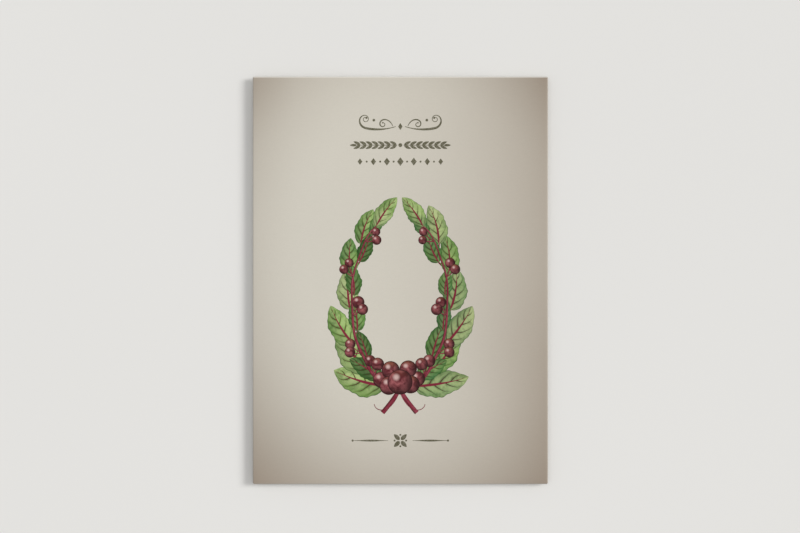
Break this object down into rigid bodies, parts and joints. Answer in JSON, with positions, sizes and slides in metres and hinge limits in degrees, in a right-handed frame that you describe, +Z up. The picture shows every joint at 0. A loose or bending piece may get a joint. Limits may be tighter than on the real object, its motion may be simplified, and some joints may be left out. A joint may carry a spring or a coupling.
{
  "type": "seed packet",
  "caption": "Sealed paper seed packet lying face up, its flaps glued behind and its front swelling gently over the loose seeds inside.",
  "frame": {"origin": "middle of the base, on the surface that the packet lies on", "axes": "+X across the packet to the right as its face is read, +Y towards its top edge, +Z up out of its face"},
  "size_m": [0.0826, 0.114, 0.0046],
  "materials": {
    "paper": "uncoated cream paper, matt, with fine fibres and folds a little paler than the sheet",
    "glue": "thin dried paper glue, pale and slightly glossy",
    "seed": "dry corky brown, rough and matt"
  },
  "bodies": {
    "root": {"paper_sheet": "paper", "side_seam_glue": "glue", "bottom_flap_glue": "glue", "top_flap_glue": "glue", "beet_seed_01": "seed", "beet_seed_02": "seed", "beet_seed_03": "seed", "beet_seed_04": "seed", "beet_seed_05": "seed", "beet_seed_06": "seed", "beet_seed_07": "seed", "beet_seed_08": "seed", "beet_seed_09": "seed", "beet_seed_10": "seed", "beet_seed_11": "seed", "beet_seed_12": "seed", "beet_seed_13": "seed", "beet_seed_14": "seed", "beet_seed_15": "seed", "beet_seed_16": "seed", "beet_seed_17": "seed", "beet_seed_18": "seed", "beet_seed_19": "seed", "beet_seed_20": "seed", "beet_seed_21": "seed", "beet_seed_22": "seed", "beet_seed_23": "seed", "beet_seed_24": "seed", "beet_seed_25": "seed", "beet_seed_26": "seed", "beet_seed_27": "seed", "beet_seed_28": "seed", "beet_seed_29": "seed", "beet_seed_30": "seed", "beet_seed_31": "seed", "beet_seed_32": "seed", "beet_seed_33": "seed", "beet_seed_34": "seed", "beet_seed_35": "seed", "beet_seed_36": "seed", "beet_seed_37": "seed", "beet_seed_38": "seed", "beet_seed_39": "seed", "beet_seed_40": "seed", "beet_seed_41": "seed", "beet_seed_42": "seed", "beet_seed_43": "seed", "beet_seed_44": "seed"}
  },
  "joints": []
}
